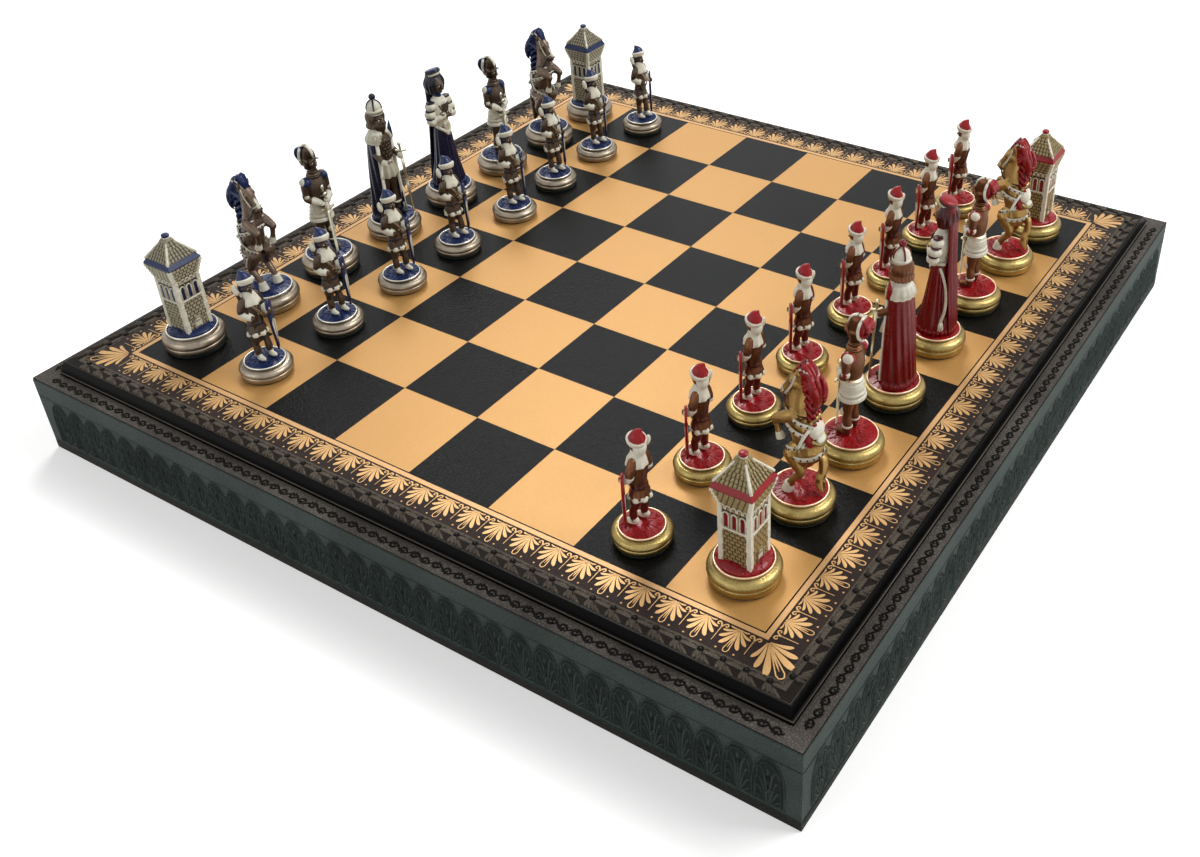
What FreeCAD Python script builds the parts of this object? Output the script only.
import FreeCAD, Part
import os
import re

import Sketcher
from FreeCAD import Rotation, Vector

# A chess set: a square leather-covered box with a lift-off board for a lid, a lined and divided
# tray inside, and thirty-two cast metal figures that stand on the board.
# The origin is the middle of the underside. +X runs from the blue army to the red one, the front
# wall is on the -Y side, and +Z is up. Lengths are millimetres.

# Driving dimensions

SIZES = (
    ("box_side", 455, "outside of the four walls"),
    ("rim_height", 45.2, "top of the walls above the table"),
    ("wall_thick", 10, "wrapped wall, seen as the flat rim"),
    ("wall_edge_r", 1.2, "rounding of the wrapped top edges"),
    ("base_felt_thick", 0.8, "felt sheet under the box"),
    ("base_felt_inset", 2, "felt kept in from the walls"),
    ("base_panel_thick", 4, "panel let into the walls from below"),
    ("rebate_depth", 5, "how far the base panel reaches into each wall"),
    ("floor_lining_thick", 1.2, "lining on the base panel"),
    ("lining_thick", 3.5, "boards along the walls, which carry the lid"),
    ("lining_height", 32.6, "their height above the floor lining"),
    ("divider_thick", 3, "half-lapped compartment boards"),
    ("divider_height", 32, "their height above the floor lining"),
    ("fit_gap", 0.1, "clearance of boards that are pushed home"),
    ("lid_gap", 0.4, "running clearance between the lid and the walls"),
    ("lid_panel_thick", 12, "panel of the lid"),
    ("lid_lining_thick", 0.8, "lining under the lid"),
    ("lid_lining_inset", 0.5, "lining kept in from the edge of the lid"),
    ("board_thick", 0.6, "leather playing surface"),
    ("edge_width", 10, "solid edge strip round the lid panel"),
    ("edge_lip", 0.5, "lip of the edge strip beside the leather"),
    ("chamfer_out", 1.7, "glossy chamfer of the lid edge, outwards"),
    ("chamfer_drop", 4.7, "glossy chamfer of the lid edge, downwards"),
    ("bead_r", 0.4, "half-round bead under the chamfer"),
    ("square_side", 47.17, "one square of the board"),
    ("felt_thick", 0.5, "felt disc under each figure"),
    ("felt_inset", 0.8, "felt kept in from the edge of the foot"),
    ("officer_foot_r", 15.5, "lower step of the large bases"),
    ("officer_foot_top", 4.2, "top of that step"),
    ("officer_belly_r", 16, "widest line of the shoulder"),
    ("officer_belly_z", 5.5, "height of that line"),
    ("officer_neck_r", 12.8, "groove under the rim ring"),
    ("officer_neck_z", 9.4, "height of the groove"),
    ("officer_ring_r", 13.1, "rim ring round the enamel ground"),
    ("officer_ring_top", 11, "top of the rim ring"),
    ("officer_ground_z", 12, "middle of the domed ground"),
    ("pawn_foot_r", 13.1, "lower step of the small bases"),
    ("pawn_foot_top", 3.5, "top of that step"),
    ("pawn_belly_r", 13.5, "widest line of the shoulder"),
    ("pawn_belly_z", 4.8, "height of that line"),
    ("pawn_neck_r", 10.2, "groove under the rim ring"),
    ("pawn_neck_z", 7.6, "height of the groove"),
    ("pawn_ring_r", 10.5, "rim ring round the enamel ground"),
    ("pawn_ring_top", 8.8, "top of the rim ring"),
    ("pawn_ground_z", 9.6, "middle of the domed ground"),
    ("flare_r", 4, "swelling curve of the shoulder above the widest line"),
    ("foot_round", 1.2, "rounded lower edge of the foot"),
    ("ring_width", 0.7, "flat of the rim ring"),
    ("ring_sink", 0.5, "ground inside the ring, below its top"),
    ("king_height", 88, "table to the top of the ball"),
    ("queen_height", 88, "table to the top of the cap"),
    ("bishop_height", 76, "table to the top of the helmet"),
    ("knight_height", 77.5, "table to the top of the crest"),
    ("pawn_height", 60, "table to the tip of the cap"),
    ("rook_height", 66, "table to the top of the finial"),
    ("shaft_side", 14.5, "side of the tower"),
    ("shaft_top", 41.5, "where the corbels start"),
    ("ledge_side", 19.7, "side of the tower at the ledge"),
    ("ledge_z", 50.5, "underside of the ledge"),
    ("ledge_bevel", 0.8, "weathered top edge of the ledge"),
    ("roof_side", 16.5, "side of the roof at its eaves"),
    ("roof_z", 54.5, "height of the eaves"),
    ("roof_top", 63.5, "where the roof meets the finial"),
    ("finial_r", 1.6, "ball on the tower roof"),
    ("window_width", 2.6, "one arched window of the tower"),
    ("window_height", 6.4, "straight part of a window"),
    ("window_sill", 31, "height of the window sills"),
    ("window_pitch", 3.9, "from window to window"),
    ("window_depth", 0.9, "recess of windows and door"),
    ("door_width", 4.4, "arched door of the tower"),
    ("door_height", 5.2, "straight part of the door"),
)
ALIASES = {alias for alias, value, note in SIZES}

doc = FreeCAD.newDocument("ChessSet")
sheet = doc.addObject("Spreadsheet::Sheet", "Dims")
for row, (alias, value, note) in enumerate(SIZES, start=1):
    sheet.set(f"A{row}", note)
    sheet.set(f"B{row}", str(value))
    sheet.setAlias(f"B{row}", alias)
doc.recompute()

# Heights and half widths that follow from the driving dimensions, as expressions

PANEL_TOP = "(base_felt_thick + base_panel_thick)"
FLOOR = f"({PANEL_TOP} + floor_lining_thick)"
LID_SEAT = f"({FLOOR} + lining_height)"
LID_UNDER = f"({LID_SEAT} + lid_lining_thick)"
LID_FACE = f"({LID_UNDER} + lid_panel_thick)"
LID_TOP = f"({LID_FACE} + board_thick)"
HALF_OUT = "(box_side / 2)"
HALF_IN = "(box_side / 2 - wall_thick)"
HALF_CLEAR = f"({HALF_IN} - lining_thick)"
HALF_LID = f"({HALF_IN} - lid_gap)"
HALF_LID_TOP = f"({HALF_LID} - chamfer_out)"

# Helpers: every size and place is an expression on the sheet


def cells(text):
    """Write the sheet's name before each alias in an expression."""
    return re.sub(r"[a-z_]+", lambda word: f"Dims.{word[0]}" if word[0] in ALIASES else word[0], str(text))


def value(text):
    """What an expression comes to at the sheet's present sizes."""
    return float(sheet.evalExpression(cells(text)))


def feature(kind, name, at=("0", "0", "0"), turn=None, **sizes):
    """Add one feature with its sizes and its place bound to the sheet."""
    made = doc.addObject(kind, name)
    for size, text in sizes.items():
        made.setExpression(size, cells(text))
    if turn is not None:
        made.Placement.Rotation = turn
    for axis, text in zip("xyz", at):
        if text != "0":
            made.setExpression(f"Placement.Base.{axis}", cells(text))
    return made


def board(name, length, width, height, middle, under):
    """A plain board with its middle at `middle` and its underside at height `under`."""
    corner = (f"{middle[0]} - ({length}) / 2", f"{middle[1]} - ({width}) / 2", under)
    return feature("Part::Box", name, corner, Length=length, Width=width, Height=height)


def outline(name, corners):
    """A closed sketch in the XZ plane. A corner is (x, z), or (x, z, radius) where an arc of that
    radius runs on to the next corner. A negative radius bends the other way."""
    sketch = doc.addObject("Sketcher::SketchObject", name)
    sketch.Placement.Rotation = Rotation(Vector(1, 0, 0), 90)
    places = [Vector(value(corner[0]), value(corner[1]), 0) for corner in corners]
    starts = []
    for index, corner in enumerate(corners):
        start, end = places[index], places[(index + 1) % len(corners)]
        starts.append(1)
        if len(corner) == 2:
            sketch.addGeometry(Part.LineSegment(start, end))
            continue
        radius = value(corner[2])
        chord = end - start
        across = Vector(chord.y, -chord.x, 0).normalize()
        sag = abs(radius) - (radius ** 2 - chord.Length ** 2 / 4) ** 0.5
        if radius > 0:
            sketch.addGeometry(Part.Arc(start, (start + end) / 2 + across * sag, end))
        else:
            sketch.addGeometry(Part.Arc(end, (start + end) / 2 - across * sag, start))
            starts[index] = 2
    for index, corner in enumerate(corners):
        follower = (index + 1) % len(corners)
        sketch.addConstraint(
            Sketcher.Constraint("Coincident", index, 3 - starts[index], follower, starts[follower]))
        for kind, text, reading in zip(("DistanceX", "DistanceY"), corner, places[index]):
            if text == "0":
                axis = -2 if kind == "DistanceX" else -1
                sketch.addConstraint(Sketcher.Constraint("PointOnObject", index, starts[index], axis))
            else:
                number = sketch.addConstraint(
                    Sketcher.Constraint(kind, -1, 1, index, starts[index], reading))
                sketch.setExpression(f"Constraints[{number}]", cells(text))
        if len(corner) == 3:
            number = sketch.addConstraint(
                Sketcher.Constraint("Radius", index, abs(value(corner[2]))))
            sketch.setExpression(f"Constraints[{number}]", cells(f"abs({corner[2]})"))
    return sketch


def turned(name, corners):
    """A solid of revolution about the Z axis."""
    made = doc.addObject("Part::Revolution", name)
    made.Source = outline(f"{name}_outline", corners)
    made.Axis = Vector(0, 0, 1)
    made.Angle = 360
    made.Solid = True
    return made


def moulding(name, corners, length, degrees):
    """A bar of the given section along one side of the box, mitred at both ends.
    The section is drawn at the +X side and the finished bar is turned by `degrees`."""
    bar = doc.addObject("Part::Extrusion", f"{name}_bar")
    bar.Base = outline(f"{name}_section", corners)
    bar.Dir = Vector(0, 1, 0)
    bar.Symmetric = True
    bar.Solid = True
    bar.setExpression("LengthFwd", cells(length))
    quarter = feature("Part::Box", f"{name}_quarter", turn=Rotation(Vector(0, 0, 1), -45),
                      Length=length, Width=length, Height=LID_TOP)
    made = doc.addObject("Part::Common", name)
    made.Base = bar
    made.Tool = quarter
    made.Placement.Rotation = Rotation(Vector(0, 0, 1), degrees)
    return made


# The box

SIDES = (("right", 0), ("back", 90), ("left", 180), ("front", 270))
WALL_TOP = "rim_height - wall_edge_r"
WALL_SECTION = (
    (f"{HALF_IN} + rebate_depth", "base_felt_thick"),
    (HALF_OUT, "base_felt_thick"),
    (HALF_OUT, WALL_TOP, "wall_edge_r"),
    (f"{HALF_OUT} - wall_edge_r", "rim_height"),
    (f"{HALF_IN} + wall_edge_r", "rim_height", "wall_edge_r"),
    (HALF_IN, WALL_TOP),
    (HALF_IN, PANEL_TOP),
    (f"{HALF_IN} + rebate_depth", PANEL_TOP),
)
box_parts = []
for side, degrees in SIDES:
    box_parts.append(moulding(f"wall_{side}", WALL_SECTION, "box_side", degrees))

panel_side = f"2 * ({HALF_IN} + rebate_depth - fit_gap)"
felt_side = "box_side - 2 * base_felt_inset"
floor_side = f"2 * {HALF_IN}"
box_parts.append(board("base_panel", panel_side, panel_side, "base_panel_thick", ("0", "0"), "base_felt_thick"))
box_parts.append(board("base_felt", felt_side, felt_side, "base_felt_thick", ("0", "0"), "0"))
box_parts.append(board("floor_lining", floor_side, floor_side, "floor_lining_thick", ("0", "0"), PANEL_TOP))

for side, sign in (("back", "1"), ("front", "-1")):
    middle = ("0", f"{sign} * ({HALF_IN} - lining_thick / 2)")
    box_parts.append(board(f"lining_{side}", floor_side, "lining_thick", "lining_height", middle, FLOOR))
for side, sign in (("right", "1"), ("left", "-1")):
    middle = (f"{sign} * ({HALF_IN} - lining_thick / 2)", "0")
    box_parts.append(board(f"lining_{side}", "lining_thick", f"2 * {HALF_CLEAR}", "lining_height", middle, FLOOR))

# The compartment boards: three along Y slotted from above, seven along X slotted from below

COLUMNS = 4
ROWS = 8
column_pitch = f"2 * {HALF_CLEAR} / {COLUMNS}"
row_pitch = f"2 * {HALF_CLEAR} / {ROWS}"
divider_length = f"2 * ({HALF_CLEAR} - fit_gap)"
slot_width = "divider_thick + 2 * fit_gap"
long_places = [f"{step} * {column_pitch}" for step in (-1, 0, 1)]
cross_places = [f"{step} * {row_pitch}" for step in (-3, -2, -1, 0, 1, 2, 3)]


def slotted(name, whole, slots):
    """A compartment board with its half-lap slots cut out."""
    cutters = doc.addObject("Part::Compound", f"{name}_slots")
    cutters.Links = slots
    made = doc.addObject("Part::Cut", name)
    made.Base = whole
    made.Tool = cutters
    return made


for number, place in enumerate(long_places, start=1):
    name = f"divider_long_{number}"
    whole = board(f"{name}_whole", "divider_thick", divider_length, "divider_height", (place, "0"), FLOOR)
    slots = [board(f"{name}_slot_{index}", "2 * divider_thick", slot_width, "divider_height", (place, cross),
                   f"{FLOOR} + divider_height / 2 - fit_gap")
             for index, cross in enumerate(cross_places)]
    box_parts.append(slotted(name, whole, slots))

for number, place in enumerate(cross_places, start=1):
    name = f"divider_cross_{number}"
    whole = board(f"{name}_whole", divider_length, "divider_thick", "divider_height", ("0", place), FLOOR)
    slots = [board(f"{name}_slot_{index}", slot_width, "2 * divider_thick", "divider_height", (column, place),
                   f"{FLOOR} - divider_height / 2 + fit_gap")
             for index, column in enumerate(long_places)]
    box_parts.append(slotted(name, whole, slots))

# The lid

EDGE_SECTION = (
    (f"{HALF_LID} - edge_width", LID_UNDER),
    (HALF_LID, LID_UNDER),
    (HALF_LID, f"{LID_TOP} - chamfer_drop - 2 * bead_r", "bead_r * 1.05"),
    (HALF_LID, f"{LID_TOP} - chamfer_drop"),
    (HALF_LID_TOP, LID_TOP),
    (f"{HALF_LID_TOP} - edge_lip", LID_TOP),
    (f"{HALF_LID_TOP} - edge_lip", LID_FACE),
    (f"{HALF_LID} - edge_width", LID_FACE),
)
lid_parts = []
for side, degrees in SIDES:
    lid_parts.append(moulding(f"lid_edge_{side}", EDGE_SECTION, "box_side", degrees))

lid_panel_side = f"2 * ({HALF_LID} - edge_width - fit_gap)"
lid_lining_side = f"2 * ({HALF_LID} - lid_lining_inset)"
board_side = f"2 * ({HALF_LID_TOP} - edge_lip - fit_gap)"
lid_parts.append(board("lid_panel", lid_panel_side, lid_panel_side, "lid_panel_thick", ("0", "0"), LID_UNDER))
lid_parts.append(board("lid_lining", lid_lining_side, lid_lining_side, "lid_lining_thick", ("0", "0"), LID_SEAT))
lid_parts.append(board("board_sheet", board_side, board_side, "board_thick", ("0", "0"), LID_FACE))

# The figures. Each casting is made once, with its foot's middle at the origin and facing +X.
# A figure's own points and sizes are hundredths of its standing height, from the ground up.


def base(name, size):
    """The turned base: foot, shoulder, groove, rim ring and domed ground. `size` is officer or pawn."""
    ground_edge = f"{size}_ring_top - ring_sink"
    inner = f"({size}_ring_r - ring_width)"
    rise = f"({size}_ground_z - {size}_ring_top + ring_sink)"
    return turned(f"{name}_base", (
        ("0", "felt_thick"),
        (f"{size}_foot_r - foot_round", "felt_thick", "foot_round"),
        (f"{size}_foot_r", "felt_thick + foot_round"),
        (f"{size}_foot_r", f"{size}_foot_top"),
        (f"{size}_foot_r - 0.5", f"{size}_foot_top + 0.3"),
        (f"{size}_belly_r", f"{size}_belly_z", "flare_r"),
        (f"{size}_neck_r", f"{size}_neck_z - 0.5"),
        (f"{size}_ring_r", f"{size}_neck_z + 0.5"),
        (f"{size}_ring_r", f"{size}_ring_top - 0.2"),
        (f"{size}_ring_r - 0.2", f"{size}_ring_top"),
        (inner, f"{size}_ring_top"),
        (inner, ground_edge, f"({inner} ^ 2 + {rise} ^ 2) / 2 / {rise}"),
        ("0", f"{size}_ground_z"),
    ))


class Figure:
    """Collects the solids of one casting and fuses them."""

    def __init__(self, name, size):
        self.name = name
        self.size = size
        self.ground = f"{size}_ground_z"
        self.unit = f"({name}_height - {size}_ground_z) / 100"
        self.solids = [base(name, size)]

    def place(self, point):
        """Expressions for a point given in hundredths of the standing height."""
        x, y, z = point
        return (f"{x} * {self.unit}", f"{y} * {self.unit}", f"{self.ground} + {z} * {self.unit}")

    def add(self, solid):
        self.solids.append(solid)
        return solid

    def ball(self, name, middle, radii, lean=0):
        """An ellipsoid with radii along X, Y and Z, leaned forward by `lean` degrees."""
        along_x, along_y, along_z = radii
        return self.add(feature(
            "Part::Ellipsoid", f"{self.name}_{name}", self.place(middle), Rotation(Vector(0, 1, 0), lean),
            Radius1=f"{along_z} * {self.unit}", Radius2=f"{along_x} * {self.unit}",
            Radius3=f"{along_y} * {self.unit}"))

    def knob(self, name, middle, radius):
        """A sphere."""
        return self.add(feature("Part::Sphere", f"{self.name}_{name}", self.place(middle),
                                Radius=f"{radius} * {self.unit}"))

    def taper(self, name, start, end, start_radius, end_radius):
        """A cone frustum from one point to another."""
        run = Vector(*end) - Vector(*start)
        return self.add(feature(
            "Part::Cone", f"{self.name}_{name}", self.place(start), Rotation(Vector(0, 0, 1), run),
            Radius1=f"{start_radius} * {self.unit}", Radius2=f"{end_radius} * {self.unit}",
            Height=f"{run.Length} * {self.unit}"))

    def limb(self, name, points, radii):
        """Tapers from joint to joint, with a ball at each inner joint."""
        for index in range(len(points) - 1):
            self.taper(f"{name}_{index}", points[index], points[index + 1], radii[index], radii[index + 1])
        for index in range(1, len(points) - 1):
            self.knob(f"{name}_joint_{index}", points[index], radii[index] * 1.12)

    def loft(self, name, sections, ruled=False, turn=90, keep=True):
        """A loft through level ellipses. A section is (z, half length, half width, x, y), with the
        half length across the figure unless `turn` says otherwise."""
        rings = []
        for index, (z, half_length, half_width, x, y) in enumerate(sections):
            rings.append(feature(
                "Part::Ellipse", f"{self.name}_{name}_{index}", self.place((x, y, z)),
                Rotation(Vector(0, 0, 1), turn),
                MajorRadius=f"{half_length} * {self.unit}", MinorRadius=f"{half_width} * {self.unit}"))
        made = doc.addObject("Part::Loft", f"{self.name}_{name}")
        made.Sections = rings
        made.Solid = True
        made.Ruled = ruled
        return self.add(made) if keep else made

    def casting(self):
        """Fuse the solids, and add the felt disc under the foot."""
        whole = doc.addObject("Part::MultiFuse", f"{self.name}_casting")
        whole.Shapes = self.solids
        felt = feature("Part::Cylinder", f"{self.name}_felt", Radius=f"{self.size}_foot_r - felt_inset",
                       Height="felt_thick")
        return whole, felt


def pawn():
    """A foot soldier in a tipped cap, with a weapon on the right shoulder and a tall shield."""
    figure = Figure("pawn", "pawn")
    for side, sign, step in (("right", -1, 0), ("left", 1, 3)):
        figure.ball(f"shoe_{side}", (3 + step, 7.5 * sign, 1.5), (6.5, 3.2, 3.2))
        figure.taper(f"leg_{side}", (step, 7.5 * sign, 0), (0, 5 * sign, 38), 4.2, 8)
    figure.loft("tunic", ((34, 12.4, 10, 0, 0), (46, 10.4, 8, 0, 0), (60, 12, 8.6, 0, 0),
                          (68, 11.6, 7.6, 0, 0), (73, 6, 5, 0, 0)))
    figure.taper("belt", (0, 0, 31.5), (0, 0, 37.5), 14.5, 11.6)
    figure.taper("collar", (1.5, 0, 64.5), (0, 0, 76), 14, 5)
    figure.ball("head", (1, 0, 81.5), (6.8, 6.2, 8))
    figure.taper("brim", (0.5, 0, 85), (-1, 0.5, 91), 7.4, 12)
    figure.taper("cap", (-1, 0.5, 90.5), (-7, -2, 99.4), 10.4, 1)
    figure.limb("arm_right", ((0, -11, 69), (-3, -17.5, 56), (8, -12, 53)), (4.4, 4, 3))
    figure.knob("glove_right", (9, -11.5, 53), 4.4)
    figure.taper("haft", (11, -13, 46), (-9, -16.5, 76), 1.7, 2.6)
    figure.knob("haft_head", (-9.6, -16.6, 77.5), 4.2)
    figure.limb("arm_left", ((0, 11, 69), (1, 17, 56), (9, 15.5, 50)), (4.4, 4, 3))
    figure.loft("shield", ((3, 1.6, 1.2, 8, 17), (30, 6.2, 2.2, 7.2, 18), (54, 8.6, 3, 5.6, 19),
                           (68, 8, 3, 4.4, 19.4), (75, 4, 2, 3.6, 19)), turn=-35)
    return figure.casting()


def bishop():
    """A knight in armour who rests both hands on a long sword."""
    figure = Figure("bishop", "officer")
    for side, sign in (("right", -1), ("left", 1)):
        figure.ball(f"sabaton_{side}", (3, 5.6 * sign, 1), (5.6, 2.6, 2.8))
        figure.limb(f"leg_{side}", ((0, 5.6 * sign, -1), (1, 4.9 * sign, 18), (0, 4 * sign, 36)), (2.6, 3.4, 4.6))
        figure.ball(f"pauldron_{side}", (0, 10 * sign, 68), (4.4, 3.6, 4.8))
        figure.limb(f"arm_{side}", ((0, 10.4 * sign, 67), (0.5, 12 * sign, 54), (8.6, 2.6 * sign, 47.5 + sign)),
                    (2.9, 2.8, 2.4))
    for band in range(4):
        low = 31.5 + 4 * band
        figure.taper(f"fauld_{band}", (0, 0, low), (0, 0, low + 4.6), 10.6 - 0.9 * band, 9.2 - 0.9 * band)
    figure.loft("cuirass", ((45, 7.2, 6, 0, 0), (54, 8, 7.2, 0.4, 0), (62, 9.2, 7.6, 0.4, 0),
                            (69, 8.4, 6, 0, 0), (73.5, 4.4, 4, 0, 0)))
    figure.taper("gorget", (0, 0, 71.5), (0, 0, 78), 5.6, 4)
    figure.ball("head", (0.8, 0, 85), (5, 4.4, 7))
    figure.ball("helmet", (-0.8, 0, 91.2), (6.8, 5.8, 8.8))
    figure.taper("helmet_neck", (-1, 0, 77.5), (-1.4, 0, 90), 5.4, 5)
    figure.ball("plume", (-7.2, 0.4, 91.5), (4.4, 3.6, 6.6), -16)
    figure.knob("gauntlet_right", (9.8, -1.3, 46), 2.9)
    figure.knob("gauntlet_left", (9.4, 1.1, 50.2), 2.7)
    figure.taper("blade", (10.8, 0, 43), (11.6, 0, -1), 1.9, 1.3)
    figure.taper("hilt", (10.8, 0, 42), (10.3, 0, 56.5), 1.1, 0.9)
    figure.taper("guard", (10.9, -5, 41.6), (10.9, 5, 41.6), 1, 1.2)
    figure.knob("pommel", (10.3, 0, 57.2), 1.8)
    return figure.casting()


def king():
    """A bearded king in a long open cape with a fur collar, a quilted doublet and a sword."""
    figure = Figure("king", "officer")
    for side, sign in (("right", -1), ("left", 1)):
        figure.ball(f"boot_{side}", (5, 4.6 * sign, 1), (5, 2.6, 2.8))
        figure.taper(f"leg_{side}", (2, 4.6 * sign, -1), (1, 3.4 * sign, 39), 2.6, 4.4)
    figure.taper("skirt", (0.8, 0, 34.5), (0.4, 0, 44.5), 9.4, 7.4)
    figure.loft("doublet", ((42.5, 7.4, 6.4, 0.4, 0), (50, 7.2, 6.2, 0.4, 0), (60, 8.6, 7, 0.4, 0),
                            (67, 8.6, 6.4, 0, 0), (72, 4.6, 4, 0, 0)))
    cloak = figure.loft("cloak_outside", ((-1, 14.2, 10, -3, 0), (25, 13.4, 9.2, -2.8, 0), (50, 12, 8, -2.2, 0),
                                          (66, 10.6, 6.8, -1.2, 0), (71, 7.4, 5, -0.6, 0)), keep=False)
    hollow = figure.loft("cloak_inside", ((-3, 11.4, 9.6, 3.4, 0), (25, 10.8, 8.8, 3.2, 0), (50, 9.8, 8, 3, 0),
                                          (63, 9, 7, 3, 0)), keep=False)
    cape = doc.addObject("Part::Cut", "king_cape")
    cape.Base = cloak
    cape.Tool = hollow
    figure.add(cape)
    for side, sign in (("right", -1), ("left", 1)):
        figure.limb(f"arm_{side}", ((0.5, 9.4 * sign, 66), (3, 12 * sign, 54), (9, 8.6 * sign, 49)), (3.6, 3.2, 2.4))
        figure.knob(f"hand_{side}", (9.6, 8.4 * sign, 48.6), 2.8)
    figure.taper("fur_collar", (-0.6, 0, 62.5), (0, 0, 73.5), 12.2, 4.8)
    figure.taper("collar_point", (-2.5, 10.2, 65), (-2.5, 11.4, 76), 3.2, 0.3)
    figure.ball("head", (1, 0, 80), (5, 4.6, 7))
    figure.ball("hair", (-1, 0, 79.4), (6.4, 6.8, 6.4))
    figure.ball("beard", (4.2, 0, 74.4), (3, 3.4, 5))
    figure.taper("crown_band", (0, 0, 83.5), (0, 0, 88.5), 6.2, 7.2)
    figure.ball("crown_dome", (0, 0, 88), (6, 6, 6.8))
    figure.knob("crown_ball", (0, 0, 97), 3)
    figure.taper("sword", (10.4, 9.2, 53), (12.2, 11, -1), 1.3, 0.8)
    return figure.casting()


def queen():
    """A lady in a long pleated gown, with puffed sleeves, a flat tilted cap and a veil."""
    figure = Figure("queen", "officer")
    figure.loft("gown", ((-1, 12.6, 12, 0, 0), (7, 11.6, 11, 0, 0), (20, 9, 8.2, 0, 0), (36, 7.8, 6.6, 0, 0),
                         (48, 6.6, 5.4, 0, 0)))
    pleats = 11
    for index in range(pleats):
        way = Rotation(Vector(0, 0, 1), 360 / pleats * index).multVec(Vector(1, 0, 0))
        hem = (way.x * 12.4, way.y * 12.8, -1)
        knee = (way.x * 8.2, way.y * 8.8, 19)
        hip = (way.x * 4.8, way.y * 5.8, 46)
        figure.taper(f"pleat_low_{index}", hem, knee, 2.2, 1.6)
        figure.taper(f"pleat_high_{index}", knee, hip, 1.65, 1)
    figure.loft("bodice", ((46, 6.8, 5.6, 0, 0), (52, 6, 5, 0, 0), (62, 7.6, 6.2, 0.3, 0), (70, 7.4, 5.2, 0, 0),
                           (75, 3.4, 3, 0, 0)))
    figure.taper("belt", (1.4, 0, 45.2), (-0.6, 0, 50.4), 7.2, 6.6)
    for side, sign in (("right", -1), ("left", 1)):
        figure.ball(f"sleeve_high_{side}", (0, 9 * sign, 68.4), (4.4, 4, 4.4))
        figure.ball(f"sleeve_middle_{side}", (0.4, 10.6 * sign, 62.6), (4.8, 4.2, 4))
        figure.ball(f"sleeve_low_{side}", (1.2, 11 * sign, 57.4), (4.8, 4, 3.6))
        figure.taper(f"arm_{side}", (1.4, 10.6 * sign, 57.6), (7.8, 1.9 * sign, 60), 2.8, 2.1)
    figure.ball("hands", (8.2, 0, 60.2), (2.4, 3.4, 2.6))
    figure.taper("neck", (0, 0, 72), (0.4, 0, 79), 3.6, 2.8)
    figure.ball("head", (1.4, 0, 84), (5, 4.6, 6.6))
    figure.ball("hair", (-1, 0, 85.2), (6.4, 6.8, 7.6))
    figure.taper("cap", (-0.2, 0, 92), (-2.2, 0.6, 98.1), 5.4, 5.9)
    figure.loft("veil", ((30, 5.2, 1.8, -8, 0), (55, 5, 1.8, -6.6, 0), (75, 5.4, 2, -5.6, 0), (92, 4.6, 2.2, -5, 0)))
    return figure.casting()


def knight():
    """A riderless horse that rears on its haunches, with a tall crest, saddle and harness."""
    figure = Figure("knight", "officer")
    for side, sign in (("right", -1), ("left", 1)):
        figure.taper(f"hoof_{side}", (5, 7.4 * sign, -1), (4, 7.4 * sign, 6), 4.4, 3.2)
        figure.limb(f"hind_{side}", ((4, 7.4 * sign, 5), (-4.5, 8 * sign, 17), (3.5, 7 * sign, 29)), (2.6, 3.2, 6))
        figure.ball(f"thigh_{side}", (-1.5, 6.4 * sign, 30), (9, 5.2, 10), 20)
        figure.limb(f"fore_{side}", ((4, 7 * sign, 59), (14.6, 8 * sign, 56), (12.4, 7.4 * sign, 45)), (4.6, 3, 2.2))
        figure.taper(f"fore_hoof_{side}", (12.6, 7.4 * sign, 45.6), (10.6, 7.2 * sign, 40), 2.3, 3.4)
        figure.taper(f"ear_{side}", (-0.5, 3.4 * sign, 88), (1.5, 5.2 * sign, 96), 2, 0.4)
    figure.ball("rump", (-6.5, 0, 34), (10, 10.4, 12), 10)
    figure.ball("barrel", (-2.5, 0, 47), (9.8, 9.8, 19), 12)
    figure.ball("chest", (3, 0, 58.5), (8.6, 9.6, 10.6), 20)
    figure.taper("neck", (1.4, 0, 60), (0, 0, 86), 9, 5.6)
    figure.taper("face", (1.6, 0, 87), (11.8, 0, 73), 5.6, 3.2)
    figure.ball("muzzle", (11.8, 0, 73), (3.8, 3.4, 4), 35)
    figure.ball("crest", (-3.4, 0, 87), (8.4, 6.4, 13), -8)
    figure.ball("mane", (-7.5, 0, 75), (5, 4.4, 12), -6)
    figure.ball("saddle", (-11.2, 0, 50), (4, 7.6, 6), 12)
    figure.taper("cantle", (-12.4, 0, 43), (-16.2, 0, 47), 5.6, 6.2)
    figure.limb("tail", ((-13, 0, 36), (-18.5, 0, 26), (-16, 0, 8)), (3, 3.6, 2.4))
    figure.knob("tail_tip", (-16, 0, 7.6), 2.9)
    return figure.casting()


def square_loft(name, sections):
    """A ruled loft through level squares about the Z axis. A section is (side, z)."""
    rings = []
    for index, (side, height) in enumerate(sections):
        rings.append(feature("Part::RegularPolygon", f"{name}_{index}", ("0", "0", height),
                             Rotation(Vector(0, 0, 1), 45), Circumradius=f"({side}) / sqrt(2)"))
        rings[-1].Polygon = 4
    made = doc.addObject("Part::Loft", name)
    made.Sections = rings
    made.Solid = True
    made.Ruled = True
    return made


def arch(name, width, height, place, sill, degrees):
    """A round-headed recess in one face of the tower, `place` from the face's middle."""
    turn = Rotation(Vector(0, 0, 1), degrees)
    slab = doc.addObject("Part::MultiFuse", name)
    face = "shaft_side / 2 - window_depth"
    jambs = feature("Part::Box", f"{name}_jambs", (face, f"{place} - {width} / 2", sill),
                    Length="2 * window_depth", Width=width, Height=height)
    head = feature("Part::Cylinder", f"{name}_head", (face, place, f"{sill} + {height}"),
                   Rotation(Vector(0, 1, 0), 90), Radius=f"{width} / 2", Height="2 * window_depth")
    slab.Shapes = [jambs, head]
    slab.Placement.Rotation = turn
    return slab


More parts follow.
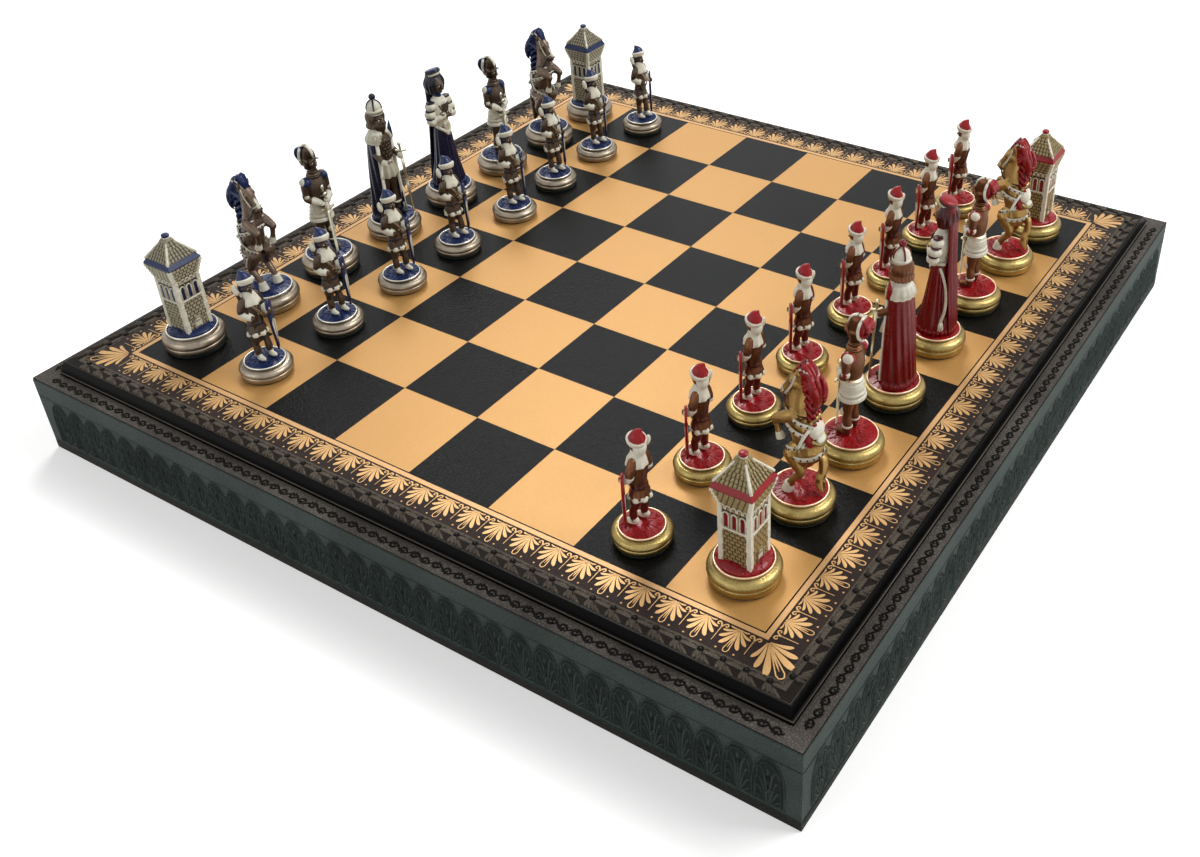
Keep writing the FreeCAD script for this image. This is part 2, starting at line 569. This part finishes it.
def rook():
    """A square brick tower with a corbelled top and a tiled roof."""
    tower = square_loft("rook_tower", (
        ("shaft_side", "officer_ring_top - ring_sink"), ("shaft_side", "shaft_top"), ("ledge_side", "ledge_z"),
        ("ledge_side", "roof_z - ledge_bevel"), ("ledge_side - 2 * ledge_bevel", "roof_z"),
    ))
    roof = square_loft("rook_roof", (("roof_side", "roof_z - 0.5"), ("finial_r", "roof_top")))
    recesses = []
    for side, degrees in SIDES:
        for index in (-1, 0, 1):
            recesses.append(arch(f"rook_window_{side}_{index + 1}", "window_width", "window_height",
                                 f"{index} * window_pitch", "window_sill", degrees))
    for side, degrees in (("right", 0), ("left", 180)):
        recesses.append(arch(f"rook_door_{side}", "door_width", "door_height", "0", "officer_ground_z", degrees))
    openings = doc.addObject("Part::Compound", "rook_recesses")
    openings.Links = recesses
    walls = doc.addObject("Part::Cut", "rook_walls")
    walls.Base = tower
    walls.Tool = openings
    figure = Figure("rook", "officer")
    figure.add(walls)
    figure.add(roof)
    finial = feature("Part::Sphere", "rook_finial", ("0", "0", "rook_height - finial_r"), Radius="finial_r")
    stem = feature("Part::Cylinder", "rook_stem", ("0", "0", "roof_top - 1"), Radius="finial_r * 0.45",
                   Height="rook_height - finial_r - roof_top + 1")
    figure.add(finial)
    figure.add(stem)
    for index, (x, y, across) in enumerate(((13, -13, 6), (15, 4, 4.6), (-14, 11, 5.4), (3, 15.4, 4.4), (-13, -12, 5))):
        figure.ball(f"rock_{index}", (x, y, -1), (across, across * 0.8, across * 0.75))
    return figure.casting()


MASTERS = {"king": king(), "queen": queen(), "bishop": bishop(), "knight": knight(), "rook": rook(), "pawn": pawn()}

# The two armies as they stand on the board. Each figure is a little off the middle of its square,
# as a hand put it down: millimetres along X and Y, from the front of the board to the back.

BACK_RANK = ("rook_near", "knight_near", "bishop_near", "king", "queen", "bishop_far", "knight_far", "rook_far")
PAWN_RANK = tuple(f"pawn_{number}" for number in range(1, 9))
BLUE_BACK_OFF = ((-5.5, -2.5), (-1.5, -2), (-1.5, -4), (1, -2), (2.5, -0.5), (3, 1), (4, 1.5), (3.5, 0.5))
BLUE_PAWN_OFF = ((0.5, -1.5), (1, 0.5), (1.5, 1.5), (1.5, 0.5), (4, 2), (0, 0), (-1.5, -1), (1.5, 0))
RED_PAWN_OFF = ((-1, -4.5), (-3.5, -0.5), (-4.5, 0), (-4.5, 0.5), (-2, 3.5), (-1, 0.5), (-3, 3.5), (-2.5, 1.5))
RED_BACK_OFF = ((0.5, -1), (-1, 1), (0.5, -1), (-1, 0), (-2, 4), (-1.5, 3.5), (-1, 3.5), (0, -1))
RANKS = (
    ("blue", -3.5, 0, BACK_RANK, BLUE_BACK_OFF),
    ("blue", -2.5, 0, PAWN_RANK, BLUE_PAWN_OFF),
    ("red", 2.5, 180, PAWN_RANK, RED_PAWN_OFF),
    ("red", 3.5, 180, BACK_RANK, RED_BACK_OFF),
)
figures = []
for army, file_place, degrees, rank, shifts in RANKS:
    for number, (role, (shift_x, shift_y)) in enumerate(zip(rank, shifts)):
        figure = doc.addObject("Part::Compound", f"{army}_{role}")
        figure.Links = list(MASTERS[role.split("_")[0]])
        figure.Placement.Rotation = Rotation(Vector(0, 0, 1), degrees)
        figure.setExpression("Placement.Base.x", cells(f"{file_place} * square_side + {shift_x}"))
        figure.setExpression("Placement.Base.y", cells(f"{number - 3.5} * square_side + {shift_y}"))
        figure.setExpression("Placement.Base.z", cells(LID_TOP))
        figures.append(figure)

# Recompute, check and write

doc.recompute()
failed = [made.Label for made in doc.Objects if {"Invalid", "Error"} & set(made.State)]
if failed:
    raise RuntimeError(f"failed features: {failed}")

nodes = box_parts + lid_parts + figures
for node in nodes:
    if node.Shape.isNull() or not node.Shape.isValid():
        raise RuntimeError(f"bad shape: {node.Label}")

os.makedirs("parts", exist_ok=True)
for node in nodes:
    node.Shape.exportStep(f"parts/{node.Label}.step")
print(f"{len(nodes)} parts written")
for role, (whole, felt) in MASTERS.items():
    bound = whole.Shape.BoundBox
    print(role, "solids", len(whole.Shape.Solids), "faces", len(whole.Shape.Faces),
          "box", [round(n, 2) for n in (bound.XMin, bound.XMax, bound.YMin, bound.YMax, bound.ZMax)])
